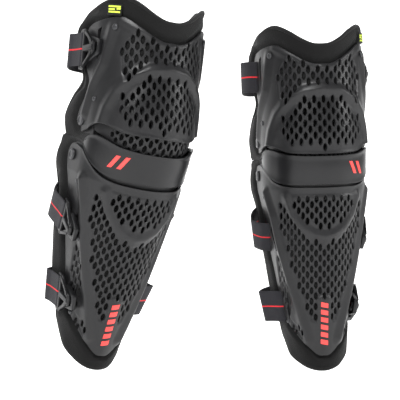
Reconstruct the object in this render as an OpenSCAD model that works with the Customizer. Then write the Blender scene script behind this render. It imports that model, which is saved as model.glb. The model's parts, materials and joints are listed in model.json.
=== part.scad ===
// A pair of hard-shell knee guards with two pivots each side, a padded liner and
// elastic straps that end in hooks. All sizes are in millimetres.
//
// Each guard is drawn once, as the one for the wearer's right leg: X across the leg, with the
// outer side at -X, the front at -Y and +Z up. Its origin is midway between its pivots, on the
// leg's centre plane. The left guard is its mirror image.

/* [Plates] */
// Outer radius of the thigh plate's U-shaped section, half the guard's width
plate_r = 75; // [72:1:80]
// How far the centre of the front curve lies ahead of the pivots
nose = 20; // [14:1:24]
// Wall of the moulded plates
wall = 3; // [2.4:0.2:3.4]
// Gap between plates that slide over each other
slide_gap = 1.2; // [1:0.1:1.6]
// Thigh plate from the pivot to the bottom of its V-shaped top edge
thigh_h = 102; // [90:1:110]
// Shin plate's lowest point below the guard's origin
shin_drop = 280; // [260:1:284]
// Outer radius of the shin plate at its lowest point
ankle_r = 38; // [34:1:46]

/* [Pivots] */
// Distance between the thigh pivot and the shin pivot
pivot_span = 48; // [44:1:52]
// Forward lean of the knee cup between them, in degrees
cup_lean = 9.5; // [6:0.5:12]
// Radius of the ears round the pivots
ear_r = 15; // [14:0.5:16]
// Radius of the pivot rivets' shanks
rivet_r = 3; // [2.5:0.1:3.2]

/* [Straps] */
// Width of the elastic straps
strap_w = 44; // [38:1:46]
// Thickness of the elastic straps
strap_t = 2; // [1.6:0.1:2.4]

/* [Pose of the pair] */
// Bend of the right guard at its thigh pivot, in degrees
right_thigh_bend = 13; // [0:1:20]
// Bend of the right guard at its shin pivot, in degrees
right_shin_bend = 3; // [0:1:14]
// Bend of the left guard at its thigh pivot, in degrees
left_thigh_bend = 1; // [0:1:20]
// Bend of the left guard at its shin pivot, in degrees
left_shin_bend = 1; // [0:1:10]
// Forward pitch of the right guard as it stands, in degrees
right_pitch = 12; // [0:1:24]
// Sideways lean of the right guard, its top towards the left one, in degrees
right_tilt = 6; // [0:1:10]
// How far the right guard is turned in towards the left one, in degrees
right_turn = 8; // [0:1:15]
// How far the left guard is turned in towards the right one, in degrees
left_turn = 12; // [0:1:15]
// Sideways lean of the left guard, its top towards the right one, in degrees
left_tilt = 2; // [0:1:10]
// Half the distance between the two guards' centre planes
half_stance = 152; // [120:1:170]
// How far the right guard stands ahead of the left one
stride = 70; // [0:1:90]
// How much higher the right guard's origin lies than the left one's
lift = 12; // [0:1:30]

/* [Hidden] */
$fn = 64;

// Colours
plate_black = [0.20, 0.20, 0.21];
cup_black = [0.16, 0.16, 0.17];
pad_black = [0.10, 0.10, 0.10];
strap_black = [0.11, 0.11, 0.13];
rivet_grey = [0.42, 0.42, 0.44];
signal_red = [0.95, 0.25, 0.24];
label_yellow = [0.75, 0.82, 0.25];

// Sections, counted inwards from the plate's outside
plate_in = plate_r - wall;
cup_r = plate_in - slide_gap;
cup_in = cup_r - 2.5;
band_r = plate_r + 2;
foam_out = cup_in - 1.5;

// Pivots in the guard's side view, [y, z]
half_span = pivot_span / 2;
thigh_pivot = [-half_span * sin(cup_lean), half_span * cos(cup_lean)];
shin_pivot = -thigh_pivot;

// The shin plate's cone, which starts a little inside the flats above it
cone_top = -44;
cone_step = 0.4;
cone_y = shin_pivot[0] - nose;
taper = (plate_r - ankle_r) / (shin_drop + cone_top);
function cone_r(z) = plate_r - cone_step + (z - cone_top) * taper;

// ---- Shapes that repeat ------------------------------------------------------------------

// The front curve of a section, as 25 flats so that plates of one shape nest evenly
function arc(r) = [for (i = [0 : 25]) r * [sin(i * 7.2 - 90), -cos(i * 7.2 - 90)]];

// The plan outline of a plate: a front curve and two straight flanks
module u_outline(r, back = 40) {
    polygon(concat([[-r, back - nose]], [for (p = arc(r)) p - [0, nose]], [[r, back - nose]]));
}

// The outline swept round the pivot axis, so that a plate can slide over it
module drum(r) {
    rotate([0, 90, 0]) rotate_extrude() polygon(concat(
        [[0, -r]], [for (p = arc(r)) [nose - p[1], p[0]]], [[0, r]]
    ));
}

module drum_at(pivot, r) {
    translate([0, pivot[0], pivot[1]]) drum(r);
}

// The outline standing upright
module column(r, low, high, back = 40) {
    translate([0, 0, low]) linear_extrude(high - low) u_outline(r, back);
}

// A side-view outline, [y, z], cut right across the leg
module side_cut(points, half = 120) {
    rotate([90, 0, 90]) translate([0, 0, -half]) linear_extrude(2 * half) polygon(points);
}

// A front-view outline, [x, z], cut right through from front to back
module front_cut(points, back = 80) {
    translate([0, back, 0]) rotate([90, 0, 0]) linear_extrude(260) polygon(points);
}

// A cylinder across the leg at a point of the side view
module cross_pin(at, r, low = -100, high = 100) {
    translate([low, at[0], at[1]]) rotate([0, 90, 0]) cylinder(r = r, h = high - low);
}

// A disc on one flank, from one distance off the centre plane to another
module flank_disc(at, r, side, near, far) {
    translate([side * near, at[0], at[1]]) rotate([0, side * 90, 0])
        cylinder(r = r, h = far - near);
}

// A tall six-sided hole, pointing out from the section's centre at an angle from the front
module vent(angle, z, centre_y, w = 6.6, h = 10) {
    translate([0, centre_y, z]) rotate([0, 0, angle]) translate([0, -30, 0]) rotate([90, 0, 0])
        linear_extrude(60) polygon([
            [0, h / 2], [w / 2, h / 4], [w / 2, -h / 4],
            [0, -h / 2], [-w / 2, -h / 4], [-w / 2, h / 4]
        ]);
}

// A field of vents: each column is [angle, lowest z, how many]
module vent_field(columns, centre_y, pitch = 16) {
    for (side = [-1, 1], c = columns, i = [0 : c[2] - 1])
        if (side > 0 || c[0] > 0)
            vent(side * c[0], c[1] + i * pitch, centre_y);
}

// An axis pointing out of a plate: an angle from the front and a height
module out_axis(spot, centre_y) {
    translate([0, centre_y, spot[1]]) rotate([0, 0, spot[0]]) rotate([90, 0, 0]) children();
}

// What belongs to the thigh plate or the shin plate, turned about its pivot
module at_thigh(bend) {
    translate([0, thigh_pivot[0], thigh_pivot[1]]) rotate([-bend, 0, 0]) children();
}

module at_shin(bend) {
    translate([0, shin_pivot[0], shin_pivot[1]]) rotate([bend, 0, 0])
        translate([0, -shin_pivot[0], -shin_pivot[1]]) children();
}

// A whole guard in its place in the pair
module place(side) {
    if (side == "right")
        translate([-half_stance, -stride / 2, lift / 2]) rotate([0, 0, right_turn])
            rotate([0, right_tilt, 0]) rotate([right_pitch, 0, 0]) children();
    else
        translate([half_stance, stride / 2, -lift / 2]) rotate([0, 0, -left_turn])
            rotate([0, -left_tilt, 0]) mirror([1, 0, 0]) children();
}

// ---- Knee cup ------------------------------------------------------------------------------

// Side view of the two skirts that slide under the plates, and of the wings to the pivots
skirt_side = [
    [4, 38], [-12, 41], [-50, 66], [-80, 79], [-104, 60], [-112, 0], [-104, -52],
    [-68, -82], [-42, -66], [-8, -42], [16, -38], [21, -26], [20, -14], [13, 20], [12, 32]
];

// Side view of the raised band
band_side = [
    [-120, -3], [-80, 1], [-62, 10], [-48, 13], [-34, 11], [-24, 3], [-22, -6],
    [-28, -17], [-42, -28], [-56, -35], [-76, -38], [-120, -39]
];

// Side view of the hollow behind the band
band_hollow = [
    [-120, -6], [-80, -2], [-62, 7], [-48, 10], [-38, 7], [-34, -8], [-46, -25], [-58, -32],
    [-76, -35], [-120, -36]
];

// Everything inside the two skirts
module cup_hollow(r) {
    drum_at(thigh_pivot, r);
    drum_at(shin_pivot, r);
}

module knee_cup() {
    color(cup_black) difference() {
        union() {
            intersection() {
                cup_hollow(cup_r);
                side_cut(skirt_side);
            }
            intersection() {
                rotate([cup_lean, 0, 0]) column(band_r, -60, 30);
                side_cut(band_side);
            }
        }
        cup_hollow(cup_in);
        intersection() {
            rotate([cup_lean, 0, 0]) column(band_r - 3.5, -60, 40, 80);
            side_cut(band_hollow);
        }
        for (pivot = [thigh_pivot, shin_pivot])
            cross_pin(pivot, rivet_r + 0.05);
    }
}

// Impact foam bonded inside the cup
module knee_foam() {
    color(pad_black) difference() {
        intersection() {
            rotate([cup_lean, 0, 0]) column(foam_out, -50, 48);
            side_cut([
                [-112, 40], [-60, 46], [-26, 34], [22, 22], [26, -20], [-26, -34],
                [-60, -50], [-112, -46]
            ]);
            drum_at(thigh_pivot, cup_in - 0.4);
            drum_at(shin_pivot, cup_in - 0.4);
        }
        rotate([cup_lean, 0, 0]) column(foam_out - 9, -60, 60, 80);
        for (pivot = [thigh_pivot, shin_pivot])
            cross_pin(pivot, 9);
    }
}

// Two plain slanted red bars on the outer front of the band
module knee_badge() {
    color(signal_red) intersection() {
        rotate([cup_lean, 0, 0]) difference() {
            column(band_r + 1, -60, 30);
            column(band_r, -61, 31);
        }
        out_axis([-38, -17], -nose) linear_extrude(140)
            for (x = [-9, 5])
                polygon([[x - 6, -9], [x, -9], [x + 10, 9], [x + 4, 9]]);
    }
}

// Rings behind the four rivet tails
module pivot_washers() {
    color(rivet_grey) for (side = [-1, 1], pivot = [thigh_pivot, shin_pivot]) difference() {
        flank_disc(pivot, 6.5, side, cup_in - 1.2, cup_in);
        cross_pin(pivot, rivet_r + 0.05);
    }
}

// Two rivets through the ears and the cup's wings
module rivet_pair(at) {
    for (side = [-1, 1]) {
        flank_disc(at, rivet_r, side, cup_in - 3, plate_r + 1);
        translate([side * plate_r, at[0], at[1]]) rotate([0, side * 90, 0])
            cylinder(r1 = 7, r2 = 5.4, h = 2.4);
        flank_disc(at, 5, side, cup_in - 3, cup_in - 1.3);
    }
}

// Rivets that fix the liner to a plate, each with a domed head
module stud(spot, centre_y, r) {
    out_axis(spot, centre_y) {
        translate([0, 0, r - wall - 1]) cylinder(r = 1.5, h = wall + 1.5);
        translate([0, 0, r]) intersection() {
            cylinder(r = 4, h = 2.2);
            translate([0, 0, -4]) sphere(r = 6);
        }
    }
}

// ---- Thigh plate, drawn from the thigh pivot ------------------------------------------------

thigh_side = [
    [-120, -23], [-78, -20], [-58, -10], [-44, -7], [-30, -9], [-16, -12], [0, -15],
    [14.5, -4], [14.5, 4], [6, 22], [-13, 42], [-2, 66], [8, 84], [8, 122], [2, 140], [-120, 140]
];
thigh_front = [
    [-90, -60], [90, -60], [90, 122], [62, thigh_h + 28], [54, thigh_h + 27], [12, thigh_h],
    [-12, thigh_h], [-54, thigh_h + 27], [-62, thigh_h + 28], [-90, 122]
];
thigh_stud_spots = [[-60, 118], [60, 118], [-76, 30], [76, 30]];
thigh_strap_z = 94;

module thigh_solid(r) {
    column(r, 0, thigh_h + 40);
    intersection() {
        drum(r);
        translate([-100, -120, -120]) cube([200, 240, 120]);
    }
}

// The window that the end of a strap passes through, and the pocket for a hook's nose
module strap_openings(at, r, tilt) {
    translate([0, at[0], at[1]]) rotate([tilt, 0, 0]) {
        translate([r, 0, 0]) cube([40, 5, strap_w + 2], center = true);
        translate([-r, -19, 0]) cube([40, 11, 16], center = true);
    }
}

module thigh_shell() {
    color(plate_black) difference() {
        intersection() {
            thigh_solid(plate_r);
            union() {
                side_cut(thigh_side);
                cross_pin([0, 0], ear_r);
            }
            front_cut(thigh_front);
        }
        thigh_solid(plate_in);
        cross_pin([0, 0], rivet_r + 0.05);
        for (spot = thigh_stud_spots)
            out_axis(spot, -nose) translate([0, 0, 50]) cylinder(r = 1.55, h = 40);
        strap_openings([-8, thigh_strap_z], plate_r, 0);
        vent_field([
            [0, 80, 1], [12.3, 84, 1], [24.6, 86, 2], [36.9, 74, 3], [49.2, 64, 3]
        ], -nose);
        vent_field([[6.15, 88, 1], [18.45, 92, 1], [30.75, 82, 2], [43.05, 68, 3]], -nose);
        vent_field([
            [0, 12, 4], [12.3, 12, 4], [24.6, 14, 3], [36.9, 16, 3], [49.2, 22, 2]
        ], -nose);
        vent_field([[6.15, 4, 4], [18.45, 5, 4], [30.75, 8, 3], [43.05, 12, 3]], -nose);
    }
}

// Liner behind the thigh plate, standing above it as a collar
module thigh_pad() {
    color(pad_black) difference() {
        intersection() {
            column(plate_in - 0.5, 0, 180, 60);
            side_cut([
                [-110, 52], [-70, 60], [-42, 46], [-20, 28], [10, 26], [2, 44], [6, 62],
                [22, 84], [24, 130], [12, 172], [-110, 172]
            ]);
            front_cut([
                [-90, 0], [90, 0], [90, 150], [60, thigh_h + 57], [48, thigh_h + 54],
                [16, thigh_h + 30], [-16, thigh_h + 30], [-48, thigh_h + 54],
                [-60, thigh_h + 57], [-90, 150]
            ]);
        }
        column(plate_in - 9, -10, 200, 80);
        drum(cup_r + 0.6);
        for (spot = thigh_stud_spots)
            out_axis(spot, -nose) translate([0, 0, plate_in - 1.5]) cylinder(r = 1.6, h = 3);
    }
}

// Patch with plain bars on the collar's outer corner
module rating_label() {
    color(label_yellow) intersection() {
        difference() {
            column(plate_in + 0.1, 0, 180);
            column(plate_in - 0.5, -1, 181);
        }
        translate([-50, -60, thigh_h + 38]) cube([22, 60, 15], center = true);
    }
}

// ---- Straps and hooks ------------------------------------------------------------------------

// Webbing from the inner window, round behind the leg, to just short of the outer hook. It
// bends on a cone whose outer radius is given 100 mm below and above the strap's middle, and
// stays clear of the children.
module strap(at, low_r, high_r, tilt) {
    difference() {
        translate([0, at[0], at[1]]) intersection() {
            translate([0, 0, -100]) cylinder(r1 = low_r, r2 = high_r, h = 200);
            rotate([tilt, 0, 0]) translate([-150, -1, -strap_w / 2]) cube([300, 300, strap_w]);
        }
        translate([0, at[0], at[1]]) difference() {
            translate([0, 0, -101])
                cylinder(r1 = low_r - strap_t, r2 = high_r - strap_t, h = 202);
            rotate([tilt, 0, 0]) translate([0, -1, -60]) cube([150, 2, 120]);
        }
        translate([0, at[0], at[1]]) rotate([tilt, 0, 0])
            translate([-150, -50, -60]) cube([150, 75.7, 120]);
        intersection() {
            children();
            translate([0, at[0], at[1]]) rotate([tilt, 0, 0])
                translate([-100, -150, -200]) cube([200, 152, 400]);
        }
    }
}

// A hook, drawn from the axis it swings on: a narrow nose with a lug, widening rearwards to a
// bar for the webbing, with two deep triangular windows either side of a central web
module hook() {
    difference() {
        union() {
            translate([-3.2, 0, 0]) rotate([90, 0, 90]) linear_extrude(3.2) polygon([
                [0, -6], [3, -9], [26, -26], [36, -26], [38, -24],
                [38, 24], [36, 26], [26, 26], [3, 9], [0, 6]
            ]);
            translate([-1, 0.4, -5]) cube([7, 2.4, 10]);
            translate([0, 0, -5]) cylinder(r = 2.4, h = 10);
        }
        translate([0, 31, 0]) cube([12, 4.6, strap_w + 2], center = true);
        for (side = [-1, 1])
            translate([-4, 0, 0]) rotate([90, 0, 90]) linear_extrude(6)
                polygon([[8, side * 4], [24, side * 4], [24, side * 18]]);
    }
}

// Webbing folded round the hook's bar and stitched back on itself
module hook_loop() {
    translate([-5.4, 29.2, -strap_w / 2]) cube([2, 15, strap_w]);
    translate([-4, 29.2, -strap_w / 2]) cube([6, 2, strap_w]);
    translate([0.3, 29.2, -strap_w / 2]) cube([2, 15, strap_w]);
}

module at_thigh_hook() {
    translate([-plate_r - 3, thigh_hook_y, thigh_strap_z]) children();
}
thigh_hook_y = -28;

// ---- Shin plate, drawn from the guard's origin ----------------------------------------------

shin_side = [
    [-120, -43], [-75, -42], [-55, -39], [-42, -32], [-30, -21], [-14, -10], [4, -9], [18, -20],
    [18, -34], [10, -62], [4, -80], [4, -140], [-2, -180], [-4, -240], [-14, -262], [-30, -290],
    [-120, -300]
];
shin_front = [
    [-90, 0], [90, 0], [90, -206], [44, -244], [28, -268], [12, -shin_drop],
    [-12, -shin_drop], [-28, -268], [-44, -244], [-90, -206]
];
calf_strap_at = [-10, -112];
calf_strap_tilt = 24;
ankle_strap_at = [-14, -212];
ankle_strap_tilt = 6;
shin_stud_spots = [[-66, -148], [66, -148], [-58, -250], [58, -250]];
taper_deg = atan(taper);

// The shin plate's outside, grown or shrunk
module shin_solid(grow, back = 40) {
    low = -shin_drop - 40;
    translate([0, shin_pivot[0], 0]) column(plate_r + grow, cone_top, 0, back);
    intersection() {
        union() {
            translate([0, cone_y, low])
                cylinder(r1 = cone_r(low) + grow, r2 = cone_r(cone_top) + grow, h = cone_top - low);
            front_cut([
                [-cone_r(cone_top) - grow, cone_top], [-cone_r(low) - grow, low],
                [cone_r(low) + grow, low], [cone_r(cone_top) + grow, cone_top]
            ]);
        }
        translate([-100, -120, low]) cube([200, 120 + cone_y + back, cone_top - low]);
        union() {
            translate([0, cone_y, low])
                cylinder(r1 = cone_r(low) + grow, r2 = cone_r(cone_top) + grow, h = cone_top - low);
            translate([-100, cone_y, low]) cube([200, back, cone_top - low]);
        }
    }
}

module shin_shell() {
    color(plate_black) difference() {
        intersection() {
            shin_solid(0);
            union() {
                side_cut(shin_side);
                cross_pin(shin_pivot, ear_r);
            }
            front_cut(shin_front);
        }
        shin_solid(-wall);
        cross_pin(shin_pivot, rivet_r + 0.05);
        for (spot = shin_stud_spots)
            out_axis(spot, cone_y) translate([0, 0, 20]) cylinder(r = 1.55, h = 60);
        strap_openings(calf_strap_at, cone_r(calf_strap_at[1]), calf_strap_tilt);
        strap_openings(ankle_strap_at, cone_r(ankle_strap_at[1]), ankle_strap_tilt);
        vent_field([[0, -76, 2], [12, -72, 2], [24, -70, 2], [36, -64, 2]], cone_y, 14);
        vent_field([[6, -69, 1], [18, -65, 1], [30, -62, 1]], cone_y, 14);
        vent_field([[0, -214, 5], [14, -196, 4], [28, -178, 2]], cone_y, 14);
        vent_field([[7, -207, 5], [21, -189, 3]], cone_y, 14);
        vent_field([[48, -190, 4], [60, -190, 3]], cone_y, 14);
        vent_field([[54, -183, 3], [42, -197, 3]], cone_y, 14);
    }
}

// Liner behind the shin plate
module shin_pad() {
    color(pad_black) difference() {
        intersection() {
            shin_solid(-wall - 0.5, 60);
            side_cut([
                [-110, -70], [-60, -62], [-30, -60], [10, -62], [22, -72], [18, -112],
                [12, -170], [8, -215], [0, -272], [-20, -300], [-110, -300]
            ]);
            front_cut([
                [-90, 0], [90, 0], [90, -232], [46, -262], [30, -288], [14, -298],
                [-14, -298], [-30, -288], [-46, -262], [-90, -232]
            ]);
        }
        shin_solid(-wall - 9, 80);
        drum_at(shin_pivot, cup_r + 0.6);
        for (spot = shin_stud_spots)
            out_axis(spot, cone_y)
                translate([0, 0, cone_r(spot[1]) - wall - 1.5]) cylinder(r = 1.6, h = 3);
    }
}

// Impact strip behind the liner, along the shin bone
module shin_foam() {
    color(pad_black) intersection() {
        difference() {
            shin_solid(-wall - 9.3);
            shin_solid(-wall - 15);
        }
        front_cut([[-20, -240], [-26, -100], [26, -100], [20, -240]], -30);
    }
}

// Plain red bars up the shin's centre strip
module shin_stripe() {
    color(signal_red) intersection() {
        difference() {
            shin_solid(0.7);
            shin_solid(0);
        }
        union()
            for (i = [0 : 5])
                front_cut([
                    [-5, -262 + 9 * i], [5, -260 + 9 * i], [5, -255 + 9 * i], [-5, -257 + 9 * i]
                ], -40);
    }
}

module at_calf_hook() {
    translate([0, calf_strap_at[0], calf_strap_at[1]]) rotate([calf_strap_tilt, 0, 0])
        translate([-cone_r(calf_strap_at[1]) - 4, -20, 0]) rotate([0, -taper_deg, 0]) children();
}

module at_ankle_hook() {
    translate([0, ankle_strap_at[0], ankle_strap_at[1]]) rotate([ankle_strap_tilt, 0, 0])
        translate([-cone_r(ankle_strap_at[1]) - 4, -20, 0]) rotate([0, -taper_deg, 0]) children();
}

// ---- The rest of one guard's parts --------------------------------------------------------------

module thigh_pivots() { color(rivet_grey) rivet_pair([0, 0]); }
module shin_pivots() { color(rivet_grey) rivet_pair(shin_pivot); }

module thigh_studs() {
    color(rivet_grey) for (spot = thigh_stud_spots) stud(spot, -nose, plate_r);
}

module shin_studs() {
    color(rivet_grey) for (spot = shin_stud_spots) stud(spot, cone_y, cone_r(spot[1]) + 0.7);
}

module thigh_strap() {
    color(strap_black) strap([-8, thigh_strap_z], plate_r + 7, plate_r + 7, 0)
        thigh_solid(plate_in);
}

module calf_strap() {
    color(strap_black) strap(
        calf_strap_at, cone_r(calf_strap_at[1] - 100) + 7, cone_r(calf_strap_at[1] + 100) + 7,
        calf_strap_tilt
    ) shin_solid(-wall);
}

module ankle_strap() {
    color(strap_black) strap(
        ankle_strap_at, cone_r(ankle_strap_at[1] - 100) + 7,
        cone_r(ankle_strap_at[1] + 100) + 7, ankle_strap_tilt
    ) shin_solid(-wall);
}

module thigh_hook() { color(cup_black) at_thigh_hook() hook(); }
module thigh_hook_loop() { color(strap_black) at_thigh_hook() hook_loop(); }
module calf_hook() { color(cup_black) at_calf_hook() hook(); }
module calf_hook_loop() { color(strap_black) at_calf_hook() hook_loop(); }
module ankle_hook() { color(cup_black) at_ankle_hook() hook(); }
module ankle_hook_loop() { color(strap_black) at_ankle_hook() hook_loop(); }

// ---- The right guard in its place --------------------------------------------------

module right_knee_cup() { place("right") knee_cup(); }
module right_knee_foam() { place("right") knee_foam(); }
module right_knee_badge() { place("right") knee_badge(); }
module right_pivot_washers() { place("right") pivot_washers(); }
module right_thigh_shell() { place("right") at_thigh(right_thigh_bend) thigh_shell(); }
module right_thigh_pad() { place("right") at_thigh(right_thigh_bend) thigh_pad(); }
module right_thigh_pivots() { place("right") at_thigh(right_thigh_bend) thigh_pivots(); }
module right_thigh_studs() { place("right") at_thigh(right_thigh_bend) thigh_studs(); }
module right_thigh_strap() { place("right") at_thigh(right_thigh_bend) thigh_strap(); }
module right_rating_label() { place("right") at_thigh(right_thigh_bend) rating_label(); }
module right_thigh_hook() { place("right") at_thigh(right_thigh_bend) thigh_hook(); }
module right_thigh_hook_loop() { place("right") at_thigh(right_thigh_bend) thigh_hook_loop(); }
module right_shin_shell() { place("right") at_shin(right_shin_bend) shin_shell(); }
module right_shin_pad() { place("right") at_shin(right_shin_bend) shin_pad(); }
module right_shin_foam() { place("right") at_shin(right_shin_bend) shin_foam(); }
module right_shin_pivots() { place("right") at_shin(right_shin_bend) shin_pivots(); }
module right_shin_studs() { place("right") at_shin(right_shin_bend) shin_studs(); }
module right_calf_strap() { place("right") at_shin(right_shin_bend) calf_strap(); }
module right_ankle_strap() { place("right") at_shin(right_shin_bend) ankle_strap(); }
module right_shin_stripe() { place("right") at_shin(right_shin_bend) shin_stripe(); }
module right_calf_hook() { place("right") at_shin(right_shin_bend) calf_hook(); }
module right_calf_hook_loop() { place("right") at_shin(right_shin_bend) calf_hook_loop(); }
module right_ankle_hook() { place("right") at_shin(right_shin_bend) ankle_hook(); }
module right_ankle_hook_loop() { place("right") at_shin(right_shin_bend) ankle_hook_loop(); }

// ---- The left guard in its place --------------------------------------------------

module left_knee_cup() { place("left") knee_cup(); }
module left_knee_foam() { place("left") knee_foam(); }
module left_knee_badge() { place("left") knee_badge(); }
module left_pivot_washers() { place("left") pivot_washers(); }
module left_thigh_shell() { place("left") at_thigh(left_thigh_bend) thigh_shell(); }
module left_thigh_pad() { place("left") at_thigh(left_thigh_bend) thigh_pad(); }
module left_thigh_pivots() { place("left") at_thigh(left_thigh_bend) thigh_pivots(); }
module left_thigh_studs() { place("left") at_thigh(left_thigh_bend) thigh_studs(); }
module left_thigh_strap() { place("left") at_thigh(left_thigh_bend) thigh_strap(); }
module left_rating_label() { place("left") at_thigh(left_thigh_bend) rating_label(); }
module left_thigh_hook() { place("left") at_thigh(left_thigh_bend) thigh_hook(); }
module left_thigh_hook_loop() { place("left") at_thigh(left_thigh_bend) thigh_hook_loop(); }
module left_shin_shell() { place("left") at_shin(left_shin_bend) shin_shell(); }
module left_shin_pad() { place("left") at_shin(left_shin_bend) shin_pad(); }
module left_shin_foam() { place("left") at_shin(left_shin_bend) shin_foam(); }
module left_shin_pivots() { place("left") at_shin(left_shin_bend) shin_pivots(); }
module left_shin_studs() { place("left") at_shin(left_shin_bend) shin_studs(); }
module left_calf_strap() { place("left") at_shin(left_shin_bend) calf_strap(); }
module left_ankle_strap() { place("left") at_shin(left_shin_bend) ankle_strap(); }
module left_shin_stripe() { place("left") at_shin(left_shin_bend) shin_stripe(); }
module left_calf_hook() { place("left") at_shin(left_shin_bend) calf_hook(); }
module left_calf_hook_loop() { place("left") at_shin(left_shin_bend) calf_hook_loop(); }
module left_ankle_hook() { place("left") at_shin(left_shin_bend) ankle_hook(); }
module left_ankle_hook_loop() { place("left") at_shin(left_shin_bend) ankle_hook_loop(); }

right_knee_cup();
right_knee_foam();
right_knee_badge();
right_pivot_washers();
right_thigh_shell();
right_thigh_pad();
right_thigh_pivots();
right_thigh_studs();
right_thigh_strap();
right_rating_label();
right_thigh_hook();
right_thigh_hook_loop();
right_shin_shell();
right_shin_pad();
right_shin_foam();
right_shin_pivots();
right_shin_studs();
right_calf_strap();
right_ankle_strap();
right_shin_stripe();
right_calf_hook();
right_calf_hook_loop();
right_ankle_hook();
right_ankle_hook_loop();
left_knee_cup();
left_knee_foam();
left_knee_badge();
left_pivot_washers();
left_thigh_shell();
left_thigh_pad();
left_thigh_pivots();
left_thigh_studs();
left_thigh_strap();
left_rating_label();
left_thigh_hook();
left_thigh_hook_loop();
left_shin_shell();
left_shin_pad();
left_shin_foam();
left_shin_pivots();
left_shin_studs();
left_calf_strap();
left_ankle_strap();
left_shin_stripe();
left_calf_hook();
left_calf_hook_loop();
left_ankle_hook();
left_ankle_hook_loop();
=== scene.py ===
# %% [markdown]
# # A pair of knee guards
# Two hard-shell knee and shin guards, a right one and its mirror image. Each has a vented thigh
# plate, a knee cup with a smooth band, and a long vented shin plate, joined by rivets at the
# sides. A padded black liner shows all round them, and three elastic straps close behind the
# leg, each on a clip that hooks into the outer side. The whole guard is modelled once, in
# millimetres on a bench, and then stood up twice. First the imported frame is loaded.

import json
import math

import bpy
import numpy as np
from mathutils import Matrix, Vector

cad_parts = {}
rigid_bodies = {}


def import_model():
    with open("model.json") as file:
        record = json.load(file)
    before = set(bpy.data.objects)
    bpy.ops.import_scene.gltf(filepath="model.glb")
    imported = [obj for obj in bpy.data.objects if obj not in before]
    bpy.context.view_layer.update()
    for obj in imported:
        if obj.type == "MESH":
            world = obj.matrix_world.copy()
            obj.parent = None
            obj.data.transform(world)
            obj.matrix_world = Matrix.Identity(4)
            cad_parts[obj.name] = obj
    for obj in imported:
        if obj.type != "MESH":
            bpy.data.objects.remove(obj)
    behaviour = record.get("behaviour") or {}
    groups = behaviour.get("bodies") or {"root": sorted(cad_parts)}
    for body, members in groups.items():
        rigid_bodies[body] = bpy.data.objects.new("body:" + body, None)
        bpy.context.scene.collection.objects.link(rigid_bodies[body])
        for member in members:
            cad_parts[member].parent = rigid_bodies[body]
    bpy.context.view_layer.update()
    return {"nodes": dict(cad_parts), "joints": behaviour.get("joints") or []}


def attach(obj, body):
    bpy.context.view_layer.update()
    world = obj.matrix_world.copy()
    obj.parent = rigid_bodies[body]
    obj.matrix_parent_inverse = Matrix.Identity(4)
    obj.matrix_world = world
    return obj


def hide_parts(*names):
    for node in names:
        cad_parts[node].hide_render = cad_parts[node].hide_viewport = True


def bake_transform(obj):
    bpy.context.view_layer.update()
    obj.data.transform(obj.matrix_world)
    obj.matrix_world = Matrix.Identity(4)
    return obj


for leftover in list(bpy.data.objects):
    bpy.data.objects.remove(leftover)
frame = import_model()

# %% [markdown]
# ## Sizes and the bench
# These are the sizes the plates were drawn with, in millimetres. On the bench the guard's
# origin is midway between its two pivots, its front faces -Y and its outer side is at -X.
# The thigh plate is drawn from its own pivot. `bench_to_pair` gives the matrix that stands a
# bench piece in its place in the pair, mirrored for the left guard.

# %% Sizes
plate_r = 75.0  # the plates' outer face round the leg
band_r = 77.0  # the band's face, proud of the plates
cup_r = 70.8  # the cup's skirts and wings, under the plates
plate_wall, skirt_wall = 3.0, 2.5
nose = 20.0  # how far each plate's curve is centred in front of its pivot
lean = math.radians(9.5)  # the line through the two pivots leans back by this much
half_span = 24
pivot_y, pivot_z = -half_span * math.sin(lean), half_span * math.cos(lean)
cone_y = -pivot_y - nose
shin_top_z, shin_tip_z, shin_tip_r = -44, -280, 38
taper = (plate_r - shin_tip_r) / (shin_top_z - shin_tip_z)
bends = {"right": (13, 3), "left": (1, 1)}  # thigh and shin, in degrees


def bench_to_pair(side, part):
    """The matrix from the bench to the row frame, in metres, for one guard's thigh, knee or shin."""
    if side == "right":
        stand = Matrix.Translation((-152, -35, 6)) @ Matrix.Rotation(math.radians(8), 4, "Z")
        stand = stand @ Matrix.Rotation(math.radians(6), 4, "Y")
        stand = stand @ Matrix.Rotation(math.radians(12), 4, "X")
    else:
        stand = Matrix.Translation((152, 35, -6)) @ Matrix.Rotation(math.radians(-12), 4, "Z")
        stand = stand @ Matrix.Rotation(math.radians(-2), 4, "Y") @ Matrix.Scale(-1, 4, (1, 0, 0))
    thigh_bend, shin_bend = bends[side]
    if part == "thigh":
        turn = Matrix.Rotation(math.radians(-thigh_bend), 4, "X")
        stand = stand @ Matrix.Translation((0, pivot_y, pivot_z)) @ turn
    if part == "shin":
        pivot = Matrix.Translation((0, -pivot_y, -pivot_z))
        stand = stand @ pivot @ Matrix.Rotation(math.radians(shin_bend), 4, "X") @ pivot.inverted()
    return Matrix.Scale(0.001, 4) @ stand


for joint in frame["joints"]:
    if joint["name"].endswith("thigh_hinge"):
        here = bench_to_pair(joint["name"].split("_")[0], "thigh").translation
        print(joint["name"], "off by", (here - Vector(joint["pos_m"])).length * 1000, "mm")

# %% [markdown]
# ## Small helpers
# Operators act on whatever is selected, so each helper starts with nothing selected. Points
# are read and written as whole arrays, which keeps the forming steps short.

# %% Helpers for selecting, points and modifiers


def only(piece):
    """Selects this piece alone and makes it active."""
    bpy.ops.object.select_all(action="DESELECT")
    piece.select_set(True)
    bpy.context.view_layer.objects.active = piece
    return piece


def points_of(piece):
    """All points of a mesh, one row each."""
    flat = np.empty(len(piece.data.vertices) * 3)
    piece.data.vertices.foreach_get("co", flat)
    return flat.reshape(-1, 3)


def move_points(piece, points):
    piece.data.vertices.foreach_set("co", np.asarray(points, float).ravel())
    piece.data.update()


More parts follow.
